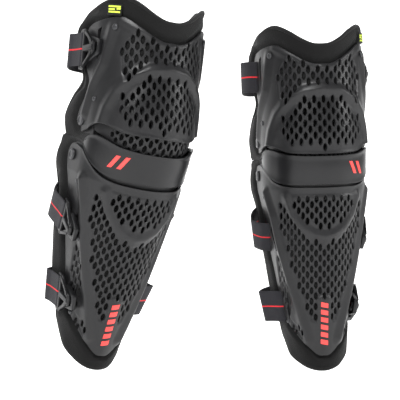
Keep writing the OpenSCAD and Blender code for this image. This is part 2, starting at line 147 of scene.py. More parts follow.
def finish_with(piece, kind, **settings):
    """Adds a modifier, sets it and applies it."""
    only(piece)
    modifier = piece.modifiers.new(kind.lower(), kind)
    for key, value in settings.items():
        setattr(modifier, key, value)
    bpy.ops.object.modifier_apply(modifier=modifier.name)
    return piece


def fresh(name, primitive, **settings):
    """Adds a primitive with nothing else selected, and names it."""
    bpy.ops.object.select_all(action="DESELECT")
    primitive(**settings)
    bpy.context.object.name = name
    return bpy.context.object


def face_outwards(piece):
    """Turns every face of a closed piece outwards."""
    only(piece)
    bpy.ops.object.mode_set(mode="EDIT")
    bpy.ops.mesh.select_all(action="SELECT")
    bpy.ops.mesh.normals_make_consistent(inside=False)
    bpy.ops.object.mode_set(mode="OBJECT")
    return piece


def ease(t):
    """Rises from 0 to 1 with a soft start and a soft end."""
    t = np.clip(t, 0, 1)
    return t * t * (3 - 2 * t)


def smooth(piece, angle=35):
    """Shades a piece smooth, except where its faces meet at more than this angle."""
    only(piece)
    bpy.ops.object.shade_smooth_by_angle(angle=math.radians(angle))
    return piece


def joined(parts, name):
    """Joins pieces into the first one."""
    bpy.ops.object.select_all(action="DESELECT")
    for part in parts:
        part.select_set(True)
    bpy.context.view_layer.objects.active = parts[0]
    if len(parts) > 1:
        bpy.ops.object.join()
    parts[0].name = name
    return parts[0]


def curve_through(points, count):
    """Points spaced evenly along a smooth curve through the given ones."""
    p = np.array(points, float)
    p = np.vstack([2 * p[0] - p[1], p, 2 * p[-1] - p[-2]])
    fine = []
    for i in range(1, len(p) - 2):
        for t in np.linspace(0, 1, 24, endpoint=i == len(p) - 3):
            a, b, c, d = p[i - 1 : i + 3]
            fine.append(
                0.5 * (2 * b + (c - a) * t + (2 * a - 5 * b + 4 * c - d) * t * t
                       + (3 * b - a - 3 * c + d) * t**3)
            )
    fine = np.array(fine)
    run = np.concatenate([[0], np.cumsum(np.linalg.norm(np.diff(fine, axis=0), axis=1))])
    at = np.linspace(0, run[-1], count)
    return np.stack([np.interp(at, run, fine[:, k]) for k in range(p.shape[1])], axis=1)


print("even steps along a curve", curve_through([(0, 0), (1, 1), (2, 0)], 3).round(2).tolist())


# %% [markdown]
# ## Blanks: flat sheets cut to an outline
# A moulded plate is a thin sheet with a clean outline and a rounded rim. Cutting that outline
# with a boolean leaves ragged slivers along the edge, so each plate starts as a grid whose
# outer rows are laid along the outline and whose inside follows evenly. It is laid out flat,
# with X along the plate's girth and Z up, then given its wall and a rounded rim.

# %% A blank from four edge curves


def both_sides(half):
    """A right-hand half outline from the centre outwards, mirrored into a whole edge."""
    half = [tuple(p) for p in half]
    return [(-a, z) for a, z in reversed(half) if a > 0] + half


def blank(name, columns, rows, bottom, top, rear):
    """A flat sheet between a bottom and a top edge; rear is its right-hand edge, upwards."""
    piece = fresh(name, bpy.ops.mesh.primitive_grid_add, x_subdivisions=columns,
                  y_subdivisions=rows, size=2)
    low, high = curve_through(bottom, columns + 1), curve_through(top, columns + 1)
    right = curve_through(rear, rows + 1)
    left = right * (-1, 1)
    p = points_of(piece)
    i = np.rint((p[:, 0] + 1) / 2 * columns).astype(int)
    j = np.rint((p[:, 1] + 1) / 2 * rows).astype(int)
    s, t = (i / columns)[:, None], (j / rows)[:, None]
    flat = (1 - t) * low[i] + t * high[i] + (1 - s) * left[j] + s * right[j]
    flat -= (1 - s) * (1 - t) * left[0] + s * (1 - t) * right[0]
    flat -= (1 - s) * t * left[-1] + s * t * right[-1]
    move_points(piece, np.stack([flat[:, 0], 0 * flat[:, 0], flat[:, 1]], axis=1))
    return piece


def thicken(piece, wall, rim=0.9):
    """Gives a flat sheet its wall, behind its face, and rounds its rim."""
    finish_with(piece, "SOLIDIFY", thickness=wall, offset=-1)
    if rim:
        finish_with(piece, "BEVEL", width=rim, segments=3, limit_method="ANGLE",
                    angle_limit=math.radians(60))
    return piece


print("a half edge made whole", both_sides([(0, 0), (10, 2)]))


# %% [markdown]
# ## Vents
# The plates are covered in tall six-sided vents, in columns that step by half a vent, each
# with a softly broken rim. One cutter is a six-sided prism, its long edges rounded and its
# outer end flared, so that it leaves the hole and its broken rim in one cut. Copies of it
# fill each vented field, and one boolean cuts them all while the plate is still flat.

# %% A vent cutter and a field of them


def vent_cutter(width, height, flare=0.9):
    """A six-sided prism that leaves one vent and its broken rim."""
    cutter = fresh("vent", bpy.ops.mesh.primitive_cylinder_add, vertices=6, radius=1, depth=12,
                   rotation=(math.pi / 2, 0, 0))
    bpy.ops.object.transform_apply(rotation=True)
    p = points_of(cutter)
    angle = np.rint(np.degrees(np.arctan2(p[:, 0], p[:, 2])))
    tip = np.abs(np.abs(angle) - 90) > 80
    p[:, 0] = np.where(tip, 0, np.sign(p[:, 0]) * width / 2)
    p[:, 2] = np.sign(p[:, 2]) * np.where(tip, height / 2, height / 4.4)
    p[:, 1] = np.where(p[:, 1] < 0, -1.2, 9)
    move_points(cutter, p)
    only(cutter)
    bpy.ops.object.mode_set(mode="EDIT")
    bpy.ops.mesh.select_all(action="SELECT")
    bpy.ops.mesh.bisect(plane_co=(0, 0.9, 0), plane_no=(0, 1, 0))
    bpy.ops.object.mode_set(mode="OBJECT")
    finish_with(cutter, "BEVEL", width=1.0, segments=2, limit_method="ANGLE",
                angle_limit=math.radians(30))
    p = points_of(cutter)
    outer = p[:, 1] < 0.2
    p[outer, 0] *= 1 + 2 * flare / width
    p[outer, 2] *= 1 + 2 * flare / height
    move_points(cutter, p)
    return cutter


def inside(a, z, outline):
    """Which of the points (a, z) lie inside a closed outline."""
    a, z = np.asarray(a, float), np.asarray(z, float)
    hit = np.zeros(a.shape, bool)
    for (a0, z0), (a1, z1) in zip(outline, outline[1:] + outline[:1]):
        cross = (z0 > z) != (z1 > z)
        hit ^= cross & (a < (a1 - a0) * (z - z0) / (z1 - z0 + 1e-12) + a0)
    return hit


def vent_places(fields, step, repeat, drop=0.0):
    """Centres of the vents whose middle lies inside a field."""
    found = []
    for i in range(-24, 25):
        for j in range(-24, 25):
            a, z = i * step, drop + (j + 0.5 * (i % 2)) * repeat
            if any(inside(a, z, f) for f in fields):
                found.append((a, z))
    return found


def cut(piece, cutters):
    """Takes the joined cutters out of the piece and removes them."""
    tool = joined(cutters, "cutter")
    finish_with(piece, "BOOLEAN", operation="DIFFERENCE", object=tool, solver="MANIFOLD")
    bpy.data.objects.remove(tool)
    return piece


def cut_vents(piece, places, width=5.0, height=12.0):
    """Cuts every vent of a flat plate at once."""
    first = vent_cutter(width, height)
    cutters = []
    for a, z in places:
        copy = first.copy()
        copy.data = first.data.copy()
        copy.location = (a, 0, z)
        bpy.context.collection.objects.link(copy)
        cutters.append(copy)
    bpy.data.objects.remove(first)
    cut(piece, cutters)
    print(piece.name, "vents", len(places), "faces", len(piece.data.polygons))


square = [(-20, -20), (20, -20), (20, 20), (-20, 20)]
print("vents in a 40 mm square", len(vent_places([square], 6.7, 16.8)))


# %% [markdown]
# ## Forming
# A flat blank is formed over the leg in one step: its girth goes round a curve of the plate's
# radius and then straight back along the flank, and its height stays height. Ridges, domes and
# sunk panels are added to the distance from the leg in the same step, so they blend into the
# plate as moulded ones do. Below its pivot the thigh plate also curves under about the pivot
# axis, because it slides over the cup.

# %% Distance, ridges and forming


def distance_to(a, z, line):
    """How far each point (a, z) is from a broken line."""
    best = np.full(a.shape, 1e9)
    for (a0, z0), (a1, z1) in zip(line, line[1:]):
        da, dz = a1 - a0, z1 - z0
        t = np.clip(((a - a0) * da + (z - z0) * dz) / (da * da + dz * dz + 1e-12), 0, 1)
        best = np.minimum(best, np.hypot(a - a0 - t * da, z - z0 - t * dz))
    return best


def ridge(a, z, line, height, width):
    """A rounded ridge along a broken line."""
    rounded = np.hypot(distance_to(a, z, line), 2.2) - 2.2
    return height * np.clip(1 - rounded / (2.2 * width), 0, 1) ** 1.6


def panel(a, z, outline, height, soft):
    """A raised or sunk panel with soft shoulders."""
    depth = np.where(inside(a, z, outline), distance_to(a, z, outline + outline[:1]), 0)
    return height * ease(depth / soft)


def mirrored(outline):
    return [(-a, z) for a, z in reversed(outline)]


def thigh_r(z):
    return np.full(np.shape(z), plate_r)


def shin_r(z):
    return plate_r - 0.4 + np.minimum(np.asarray(z, float) - shin_top_z, 0) * taper


def round_leg(a, out, z, radius, centre_y):
    """Bench points for a girth, a distance out of the plate's face and a height."""
    r = radius(z)
    turn = np.clip(a / r, -math.pi / 2, math.pi / 2)
    flank = np.maximum(np.abs(a) - r * math.pi / 2, 0)
    x = (r + out) * np.sin(turn)
    y = centre_y - (r + out) * np.cos(turn) + flank
    return x, y


def form(piece, radius, centre_y, relief=None, under=False, inset=0.0):
    """Forms a flat blank round the leg, with its relief."""
    p = points_of(piece)
    a, out, z = p[:, 0], -p[:, 1] - inset, p[:, 2]
    if relief is not None:
        out = out + relief(a, z)
    x, y = round_leg(a, out, z, radius, centre_y)
    if under:
        reach = np.maximum(-y, 1)
        dip = np.minimum(z, 0) * ease((reach - 20) / 25)
        curved = -np.sqrt(np.maximum(reach**2 - dip**2, 0)) + np.minimum(reach + y, 0)
        y = np.where(z < 0, curved, y)
    move_points(piece, np.stack([x, y, z], axis=1))
    return face_outwards(piece)


def girth(y, z, radius, centre_y):
    """The girth at which a point of the side view lies, on the right-hand side."""
    r = float(radius(z))
    if y > centre_y:
        return r * math.pi / 2 + y - centre_y
    return r * math.acos(min(1.0, (centre_y - y) / r))


def from_side(points, radius, centre_y):
    """Points of the side view (y, z) as points of the flat plate."""
    return [(girth(y, z, radius, centre_y), z) for y, z in points]


print("girth at the pivot", round(girth(0, 0, thigh_r, -nose), 1), "mm")


# %% [markdown]
# ## Materials
# The plates are moulded in a dark grey plastic with a fine satin grain that scatters light,
# and the cup's band is the same plastic polished a little smoother. A fine noise drives the
# bump, and a broad one shifts the colour and gloss slightly, as handling does.

# %% Plastic


def new_material(name, base, roughness):
    """A material with its colour and roughness, and the parts needed to wire it."""
    material = bpy.data.materials.new(name)
    material.use_nodes = True
    material.diffuse_color = (*base, 1)
    shader = material.node_tree.nodes["Principled BSDF"]
    shader.inputs["Base Color"].default_value = (*base, 1)
    shader.inputs["Roughness"].default_value = roughness
    return material, material.node_tree.nodes, material.node_tree.links, shader


def add(nodes, kind, **values):
    """Adds a node and sets its sockets and settings by name."""
    node = nodes.new(kind)
    for key, value in values.items():
        if key in node.inputs:
            node.inputs[key].default_value = value
        else:
            setattr(node, key, value)
    return node


def tinted(nodes, links, base, light, factor):
    """A colour that wanders between two tones."""
    tint = add(nodes, "ShaderNodeMix", data_type="RGBA")
    tint.inputs["A"].default_value = (*base, 1)
    tint.inputs["B"].default_value = (*light, 1)
    links.new(factor, tint.inputs["Factor"])
    return tint.outputs["Result"]


def summed(nodes, links, first, second):
    both = add(nodes, "ShaderNodeMath", operation="ADD")
    links.new(first, both.inputs[0])
    links.new(second, both.inputs[1])
    return both.outputs["Value"]


def raised(nodes, links, shader, height, strength, distance):
    """A bump on the shader's normal."""
    bump = add(nodes, "ShaderNodeBump", Strength=strength, Distance=distance)
    links.new(height, bump.inputs["Height"])
    links.new(bump.outputs["Normal"], shader.inputs["Normal"])


def moulded(name, base, light, roughness, grain, depth):
    """Moulded plastic: a fine grain in the bump, a broad shift in colour and gloss."""
    material, nodes, links, shader = new_material(name, base, roughness)
    place = add(nodes, "ShaderNodeTexCoord")
    fine = add(nodes, "ShaderNodeTexNoise", Scale=grain, Detail=3.0)
    broad = add(nodes, "ShaderNodeTexNoise", Scale=38.0, Detail=4.0)
    for noise in (fine, broad):
        links.new(place.outputs["Object"], noise.inputs["Vector"])
    links.new(tinted(nodes, links, base, light, broad.outputs["Fac"]), shader.inputs["Base Color"])
    gloss = add(nodes, "ShaderNodeMapRange")
    gloss.inputs["To Min"].default_value = roughness - 0.06
    gloss.inputs["To Max"].default_value = roughness + 0.08
    links.new(broad.outputs["Fac"], gloss.inputs["Value"])
    links.new(gloss.outputs["Result"], shader.inputs["Roughness"])
    raised(nodes, links, shader, fine.outputs["Fac"], depth, 0.0002)
    shader.inputs["Specular IOR Level"].default_value = 0.32
    return material


plate_plastic = moulded("plate_plastic", (0.0085, 0.0085, 0.009), (0.015, 0.015, 0.016), 0.40,
                        2600.0, 0.35)
band_plastic = moulded("band_plastic", (0.005, 0.005, 0.0055), (0.008, 0.008, 0.009), 0.30, 3200.0,
                       0.18)
clip_plastic = moulded("clip_plastic", (0.004, 0.004, 0.0045), (0.008, 0.008, 0.009), 0.38, 2200.0,
                       0.35)
rivet_metal = moulded("rivet_metal", (0.035, 0.036, 0.038), (0.060, 0.061, 0.064), 0.34, 1500.0,
                      0.2)
rivet_metal.node_tree.nodes["Principled BSDF"].inputs["Metallic"].default_value = 0.5
signal_red = moulded("signal_red", (0.86, 0.055, 0.050), (0.95, 0.085, 0.075), 0.42, 2000.0, 0.2)
print("plastics", [m.name for m in bpy.data.materials if "plastic" in m.name])

# %% [markdown]
# The liner's cover is a brushed knit: matt black, with a soft sheen at grazing angles and a
# fine pile. Two noises of different sizes make the pile in the bump. The webbing is ribbed
# across its width, with a thin red line woven along its middle; both follow the strap, so they
# are drawn in the strap's own UV map.

# %% Knit and webbing


def knit(name, base, light, scale=900.0):
    """A brushed knit, with its pile in the bump."""
    material, nodes, links, shader = new_material(name, base, 0.92)
    place = add(nodes, "ShaderNodeTexCoord")
    pile = add(nodes, "ShaderNodeTexNoise", Scale=scale, Detail=6.0, Roughness=0.7)
    loops = add(nodes, "ShaderNodeTexVoronoi", Scale=scale * 1.1)
    links.new(place.outputs["Object"], pile.inputs["Vector"])
    links.new(place.outputs["Object"], loops.inputs["Vector"])
    links.new(tinted(nodes, links, base, light, pile.outputs["Fac"]), shader.inputs["Base Color"])
    fluff = summed(nodes, links, pile.outputs["Fac"], loops.outputs["Distance"])
    raised(nodes, links, shader, fluff, 0.6, 0.0005)
    shader.inputs["Sheen Weight"].default_value = 0.08
    shader.inputs["Sheen Roughness"].default_value = 0.5
    shader.inputs["Specular IOR Level"].default_value = 0.2
    return material


def webbing(name, base, light, line, ribs):
    """Ribbed elastic: UV x runs along the strap and UV y across it."""
    material, nodes, links, shader = new_material(name, base, 0.85)
    place = add(nodes, "ShaderNodeTexCoord")
    split = add(nodes, "ShaderNodeSeparateXYZ")
    links.new(place.outputs["UV"], split.inputs["Vector"])
    wave = add(nodes, "ShaderNodeTexWave", Scale=ribs, Distortion=0.6, Detail=2.0)
    wave.bands_direction = "X"
    links.new(place.outputs["UV"], wave.inputs["Vector"])
    fuzz = add(nodes, "ShaderNodeTexNoise", Scale=1400.0, Detail=4.0)
    links.new(place.outputs["Object"], fuzz.inputs["Vector"])
    cloth = tinted(nodes, links, base, light, fuzz.outputs["Fac"])
    off = add(nodes, "ShaderNodeMath", operation="SUBTRACT")
    off.inputs[1].default_value = 0.5
    links.new(split.outputs["Y"], off.inputs[0])
    away = add(nodes, "ShaderNodeMath", operation="ABSOLUTE")
    links.new(off.outputs["Value"], away.inputs[0])
    near = add(nodes, "ShaderNodeMath", operation="LESS_THAN")
    near.inputs[1].default_value = 0.021  # half the line's share of the width
    links.new(away.outputs["Value"], near.inputs[0])
    red = add(nodes, "ShaderNodeMix", data_type="RGBA")
    red.inputs["B"].default_value = (*line, 1)
    links.new(near.outputs["Value"], red.inputs["Factor"])
    links.new(cloth, red.inputs["A"])
    links.new(red.outputs["Result"], shader.inputs["Base Color"])
    ribbed = summed(nodes, links, wave.outputs["Fac"], fuzz.outputs["Fac"])
    raised(nodes, links, shader, ribbed, 0.5, 0.0005)
    shader.inputs["Sheen Weight"].default_value = 0.06
    return material


liner_knit = knit("liner_knit", (0.0025, 0.0025, 0.0025), (0.006, 0.006, 0.006))
binding_knit = knit("binding_knit", (0.005, 0.005, 0.005), (0.012, 0.012, 0.012), 1500.0)
strap_web = webbing("strap_web", (0.0055, 0.005, 0.0075), (0.011, 0.0105, 0.015),
                    (0.62, 0.012, 0.02), 60.0)
label_print = knit("label_print", (0.50, 0.62, 0.05), (0.62, 0.74, 0.10), 1200.0)
print("fabrics", len([m for m in bpy.data.materials if "knit" in m.name or "web" in m.name]))

# %% [markdown]
# ## Standing the pieces up
# Every piece is finished on the bench and then stood up twice with its own mesh each time.
# The left copy is mirrored, which turns its faces inside out, so they are flipped back. Each
# copy rides on its CAD body and stands for its CAD nodes.

# %% Stand a piece in the pair
made = {}


def own_copies(piece, material):
    """Both guards' copies of a bench piece, each with its own mesh."""
    piece.data.materials.clear()
    piece.data.materials.append(material)
    for side in ("right", "left"):
        copy = piece.copy()
        copy.data = piece.data.copy()
        copy.name = copy.data.name = f"{side}_{piece.name}"
        bpy.context.collection.objects.link(copy)
        yield side, copy
    bpy.data.objects.remove(piece)


def declare(copy, side, nodes, slot):
    """Hides the CAD nodes that a copy stands for and keeps the copy in made; its slot is not used."""
    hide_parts(*[f"{side}_{n}" for n in nodes])
    made[copy.name] = copy


def stand(piece, part, material, slot, nodes=(), body=None):
    """Two finished copies of a bench piece, riding on the same body of each guard."""
    copies = []
    for side, copy in own_copies(piece, material):
        copy.data.transform(bench_to_pair(side, part))
        if side == "left":
            copy.data.flip_normals()
        copy.matrix_world = Matrix.Identity(4)
        if body != "blend":
            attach(copy, f"{side}_{body or part}")
        declare(copy, side, nodes, slot)
        copies.append(copy)
    print("stood up", copies[0].name[6:], len(copies[0].data.polygons), "faces")
    return copies


# %% [markdown]
# ## Thigh plate
# The thigh plate has a V-shaped top edge with two raised corners, a waist above the ears at
# the pivots, and a lower edge that curves over the cup. A raised arch crosses its face: the
# vents above it follow the V, and those below it fill a dome.

# %% The thigh plate's blank, vents and slots
thigh_low = both_sides([(0, -23), (26, -22.5), (50, -20), (65, -15.5), (78, -10), (93, -7),
                        (108, -9), (118, -12.5), (130, -14.5), (138, -15), (146, -12.5)])
thigh_top = both_sides([(0, 103), (12, 103.5), (26, 109), (45, 120.5), (62, 130.5), (72, 133),
                        (86, 132.5), (108, 130), (128, 128), (139, 124)])
thigh_rear = from_side([(8.2, -12.5), (14.5, -3), (14, 5), (8, 17), (-4, 32), (-12, 44),
                        (-10, 55), (-2, 68), (6, 84), (8.5, 100), (7, 116), (1.2, 124)],
                       thigh_r, -nose)
thigh_plate = blank("thigh_plate", 168, 88, thigh_low, thigh_top, thigh_rear)
thicken(thigh_plate, plate_wall)

upper_field = [(0, 98), (14, 98), (26, 104), (38, 114), (50, 114), (62, 104), (68, 84), (66, 60),
               (60, 46), (52, 47), (44, 58), (28, 70), (0, 75)]
dome_field = [(0, 59), (24, 56), (44, 46), (60, 30), (72, 12), (66, 2), (46, -6), (24, -12),
              (0, -14)]
thigh_fields = [f + mirrored(f) for f in (upper_field, dome_field)]
cut_vents(thigh_plate, vent_places(thigh_fields, 6.7, 16.8, 3.0))


def slab_cutter(outline):
    """A prism through the flat plate with the given outline."""
    cutter = fresh("slab", bpy.ops.mesh.primitive_circle_add, vertices=len(outline),
                   fill_type="NGON")
    ring = np.array(outline, float)
    move_points(cutter, np.stack([ring[:, 0], 0 * ring[:, 0] - 5, ring[:, 1]], axis=1))
    finish_with(cutter, "SOLIDIFY", thickness=16, offset=0)
    return face_outwards(cutter)


def placed(shape, a, z, turn):
    """An outline turned by some degrees and moved to a girth and height."""
    c, s = math.cos(math.radians(turn)), math.sin(math.radians(turn))
    return [(a + x * c - y * s, z + x * s + y * c) for x, y in shape]


def tapered_slot(a, z, tall, turn=0.0):
    """The outline of a slot that is wide at its top and pointed below."""
    shape = [(-4, tall / 2), (4.5, tall / 2 - 3), (4, tall / 6), (1.5, -tall / 2),
             (0, -tall / 2 - 1), (-2, -tall / 4)]
    return placed(shape, a, z, turn)


def window(a, z, wide, tall, turn=0.0):
    """The outline of the upright opening that a strap goes through."""
    w, t = wide / 2, tall / 2
    return placed([(-w, -t), (w, -t), (w, t), (-w, t)], a, z, turn)


thigh_slot = tapered_slot(108, 100, 42)
cut(thigh_plate, [slab_cutter(thigh_slot), slab_cutter(mirrored(thigh_slot)),
                  slab_cutter(window(129.8, 94, 4.5, 46))])

# %% [markdown]
# The relief is worked out from the flat plate: the arch, the dome below it, sunk vented
# panels and a rib up each flank from the pivot to the top corner.

# %% Form the thigh plate
arch = [(-90, -4), (-84, 14), (-71, 35), (-51, 54), (-27, 65), (0, 68), (27, 65), (51, 54),
        (71, 35),
        (84, 14), (90, -4)]


def thigh_relief(a, z):
    out = ridge(a, z, arch, 4.4, 5.0)
    out += panel(a, z, thigh_fields[1], 2.2, 22)
    out += panel(a, z, thigh_fields[0], -1.5, 4)
    for side in (-1, 1):
        out += ridge(a, z, [(side * 132, 8), (side * 118, 40), (side * 96, 72), (side * 84, 118)],
                     4.2, 5)
        out += ridge(a, z, [(side * 72, 128), (side * 40, 113), (side * 14, 99), (0, 98)], 1.8, 3.5)
    low = np.interp(np.abs(a), [0, 50, 78, 93, 108, 118], [-23, -20, -10, -7, -9, -12])
    out += 0.9 * np.exp(-(((z - low) / 2.6) ** 2)) * (np.abs(a) < 118)
    return out


form(thigh_plate, thigh_r, -nose, thigh_relief, under=True)
smooth(thigh_plate)
stand(thigh_plate, "thigh", plate_plastic, "plate_black", ["thigh_shell"])

# %% [markdown]
# ## Shin plate
# The long shin plate narrows like a cone to a rounded tip. A smooth raised U separates a small
# vented triangle under the cup from the long vented field below, which narrows to a plain
# central strip. Two ribs run down its flanks, with more vents outside them.

# %% The shin plate's blank, vents and slots
shin_top = both_sides([(0, -43), (26, -42.5), (48, -41.5), (66, -38), (80, -32), (93, -23),
                       (108, -13), (122, -9.5), (138, -8.5), (146, -11)])
shin_rear = from_side([(-30, -240), (-16, -224), (-7, -205), (-3, -185), (0, -160), (4, -135),
                       (5, -110), (4, -90), (5, -72), (9, -56), (14, -42), (18.4, -30),
                       (18.4, -19)], shin_r, cone_y) + [(146, -11)]
shin_low = both_sides([(0, -281), (7, -280.5), (15, -275), (25, -266), (34, -258), (44, -249)]
                      + [shin_rear[0]])
shin_plate = blank("shin_plate", 150, 136, shin_low, shin_top, shin_rear)
thicken(shin_plate, plate_wall)

cup_field = [(0, -52), (26, -52), (50, -51), (46, -68), (30, -88), (14, -99), (0, -102)]
long_field = [(0, -121), (16, -118), (34, -104), (50, -82), (60, -62), (72, -62), (70, -92),
              (58, -128), (44, -166), (30, -200), (20, -232), (9, -236), (8, -200), (0, -196)]
flank_field = [(70, -136), (86, -142), (84, -174), (70, -206), (54, -224), (50, -206), (60, -172)]
foot_field = [(40, -236), (56, -226), (54, -242), (42, -250), (30, -262), (28, -252)]
shin_fields = [cup_field + mirrored(cup_field), long_field + mirrored(long_field),
               flank_field, mirrored(flank_field), foot_field, mirrored(foot_field)]
cut_vents(shin_plate, vent_places(shin_fields, 6.2, 15.2, 2.0), 4.6, 11.0)


def strap_cuts(at_y, at_z, tilt):
    """A tapered slot on each flank ahead of a strap, and the window that one end goes through."""
    ahead = girth(at_y - 19, at_z, shin_r, cone_y)
    back = girth(at_y, at_z, shin_r, cone_y)
    slot = tapered_slot(ahead, at_z, 34, -tilt)
    return [slab_cutter(slot), slab_cutter(mirrored(slot)),
            slab_cutter(window(back, at_z, 4.5, 46, tilt))]


cut(shin_plate, strap_cuts(-10, -112, 24) + strap_cuts(-14, -212, 6))

# %% [markdown]
# The shin's relief is the raised U, the sunk vented fields, a rib down each flank and a low
# keel over the shin bone, all added while the plate is formed.

# %% Form the shin plate


def shin_relief(a, z):
    u_shape = [(-56, -56), (-46, -80), (-30, -99), (-14, -109), (0, -112), (14, -109), (30, -99),
               (46, -80), (56, -56)]
    out = ridge(a, z, u_shape, 3.8, 4.5)
    for field, depth in zip(shin_fields, (1.4, -1.8, -2.0, -2.0, -1.6, -1.6)):
        out += panel(a, z, field, depth, 4)
    for side in (-1, 1):
        rib = [(side * 100, -48), (side * 84, -84), (side * 72, -124), (side * 54, -172),
               (side * 38, -214),
               (side * 24, -258)]
        out += ridge(a, z, rib, 5.2, 4.5)
    out += ridge(a, z, [(0, -204), (0, -276)], 2.4, 9)
    low = np.interp(np.abs(a), [0, 48, 66, 80, 93, 108], [-43, -41.5, -38, -32, -23, -13])
    out += 0.9 * np.exp(-(((z - low) / 2.6) ** 2)) * (np.abs(a) < 108)
    return out


form(shin_plate, shin_r, cone_y, shin_relief)
smooth(shin_plate)
stand(shin_plate, "shin", plate_plastic, "plate_black", ["shin_shell"])

# %% [markdown]
# ## Knee cup
# The cup is one moulding: a vented skirt that slides up under the thigh plate, a smooth proud
# band across the knee, a plain skirt below it and a flat wing to each pair of pivots. The
# skirts are parts of drums about the pivots, so they are formed by turning height into an
# angle about the pivot axis.

# %% The two skirts


def skirt(name, low, high, pivot, vents=()):
    """A drum-shaped skirt; its height is measured along the front of the drum."""
    reach = nose + cup_r
    piece = blank(name, 120, 44, both_sides([(0, low), (50, low), (111, low * 0.75)]),
                  both_sides([(0, high), (50, high), (111, high * 0.75)]),
                  [(111, low * 0.75), (111, (low + high) * 0.375), (111, high * 0.75)])
    thicken(piece, skirt_wall, 0.6)
    if vents:
        cut_vents(piece, vents)
    p = points_of(piece)
    turn, out, lift = p[:, 0] / cup_r, -p[:, 1], p[:, 2] / reach
    away = nose + (cup_r + out) * np.cos(turn)
    x = (cup_r + out) * np.sin(turn)
    y, z = pivot[0] - away * np.cos(lift), pivot[1] + away * np.sin(lift)
    move_points(piece, np.stack([x, y, z], axis=1))
    return piece


skirt_field = [(-46, -30), (46, -30), (64, -20), (72, -6), (66, 16), (44, 33), (0, 36), (-44, 33),
               (-66, 16),
               (-72, -6), (-64, -20)]
upper_skirt = skirt("upper_skirt", -26, 56, (pivot_y, pivot_z),
                    vent_places([skirt_field], 6.7, 16.8, 6.0))
lower_skirt = skirt("lower_skirt", -62, 24, (-pivot_y, -pivot_z))

# %% [markdown]
# The wings are flat, so each is a slab with a rounded outline in the side view, with the
# pivot holes hidden under the rivets.

# %% Wings


def side_slab(name, outline, near, far, rim=0.8):
    """A slab with a side-view outline (y, z), between two distances off the centre plane."""
    piece = fresh(name, bpy.ops.mesh.primitive_circle_add, vertices=len(outline),
                  fill_type="NGON")
    ring = np.array(outline, float)
    move_points(piece, np.stack([0 * ring[:, 0] + near, ring[:, 0], ring[:, 1]], axis=1))
    only(piece)
    bpy.ops.object.mode_set(mode="EDIT")
    bpy.ops.mesh.select_all(action="SELECT")
    bpy.ops.mesh.extrude_region_move(TRANSFORM_OT_translate={"value": (far - near, 0, 0)})
    bpy.ops.object.mode_set(mode="OBJECT")
    face_outwards(piece)
    return finish_with(piece, "BEVEL", width=rim, segments=3, limit_method="ANGLE",
                       angle_limit=math.radians(50))


wing_line = [(-34, 22), (-20, 33), (-6, 39), (8, 36), (14, 22), (17, 4), (20, -12), (21, -26),
             (12, -38), (-4, -41), (-18, -34), (-32, -22), (-38, 0)]
wing_outline = curve_through(wing_line + wing_line[:1], 72)[:-1]
wings = [side_slab("wing", wing_outline, side * (cup_r - skirt_wall), side * cup_r)
         for side in (-1, 1)]
cup_skirts = joined([upper_skirt, lower_skirt, *wings], "cup_skirts")
smooth(cup_skirts)
stand(cup_skirts, "knee", plate_plastic, "cup_black", ["knee_cup"])

# %% [markdown]
# The band is thicker and stands proud of both plates. Its two long edges are rolled, and it
# narrows to a rounded point between the pivots on each side.

# %% The band


def band_edge(points):
    """Angles from the front in degrees and heights, as girths and heights."""
    return both_sides([(math.radians(t) * band_r, z) for t, z in points])


def round_band(turn, radius, z):
    """Bench points round the band, whose axis leans with the line through the pivots."""
    y0 = -nose - radius * np.cos(turn)
    z0 = (z - y0 * math.sin(lean)) / math.cos(lean)
    y = y0 * math.cos(lean) - z0 * math.sin(lean)
    return np.stack([radius * np.sin(turn), y, z], axis=1)


band_top = band_edge([(0, -0.6), (20, -0.2), (39, 2.4), (50, 6.2), (58, 9.4), (68, 11.6), (77, 10),
                      (84, 5), (88, 0)])
band_low = band_edge([(0, -40), (20, -40), (39, -39), (50, -36.5), (58, -32.5), (68, -25.5),
                      (77, -17),
                      (84, -10), (88, -5.5)])
band = blank("knee_band", 150, 30, band_low, band_top,
             [band_low[-1], (math.radians(89.5) * band_r, -2.8), band_top[-1]])
thicken(band, 4.0, 1.3)
p = points_of(band)
a, out, z = p[:, 0], -p[:, 1], p[:, 2]
top_at = np.interp(np.abs(a), *np.array(band_top)[len(band_top) // 2:].T)
low_at = np.interp(np.abs(a), *np.array(band_low)[len(band_low) // 2:].T)
across = np.clip((z - low_at) / np.maximum(top_at - low_at, 1), 0, 1)
out = out + 1.1 * np.exp(-(((1 - across) / 0.1) ** 2)) + 0.5 * np.exp(-((across / 0.1) ** 2))
out = out + 1.4 * np.sin(np.pi * across) * np.clip(1 - np.abs(a) / 118, 0, 1)
out = out - 2.5 * np.clip((np.abs(a) - 84) / 34, 0, 1) ** 2
move_points(band, round_band(a / band_r, band_r + out, z))
smooth(band, 50)
stand(band, "knee", band_plastic, "cup_black")

# %% [markdown]
# ## Rivets and studs
# A pivot rivet is a broad low dome with a dished middle, and the liner is held by smaller
# domed studs. Both are turned: a circle is extruded and scaled up its profile step by step,
# as a lathe would cut it.

# %% Turned rivets


def turned(name, profile, corners=36):
    """A closed turned solid along +Z from (radius, height) steps, centre outwards to the base."""
    r0, h0 = profile[0]
    piece = fresh(name, bpy.ops.mesh.primitive_circle_add, vertices=corners, radius=r0,
                  fill_type="NGON", location=(0, 0, h0))
    bpy.ops.object.transform_apply(location=True)
    bpy.ops.object.mode_set(mode="EDIT")
    bpy.ops.mesh.select_all(action="SELECT")
    for (r1, h1), (r2, h2) in zip(profile, profile[1:]):
        bpy.ops.mesh.extrude_region_move(TRANSFORM_OT_translate={"value": (0, 0, h2 - h1)})
        bpy.ops.transform.resize(value=(r2 / r1, r2 / r1, 1))
    bpy.ops.object.mode_set(mode="OBJECT")
    return face_outwards(piece)


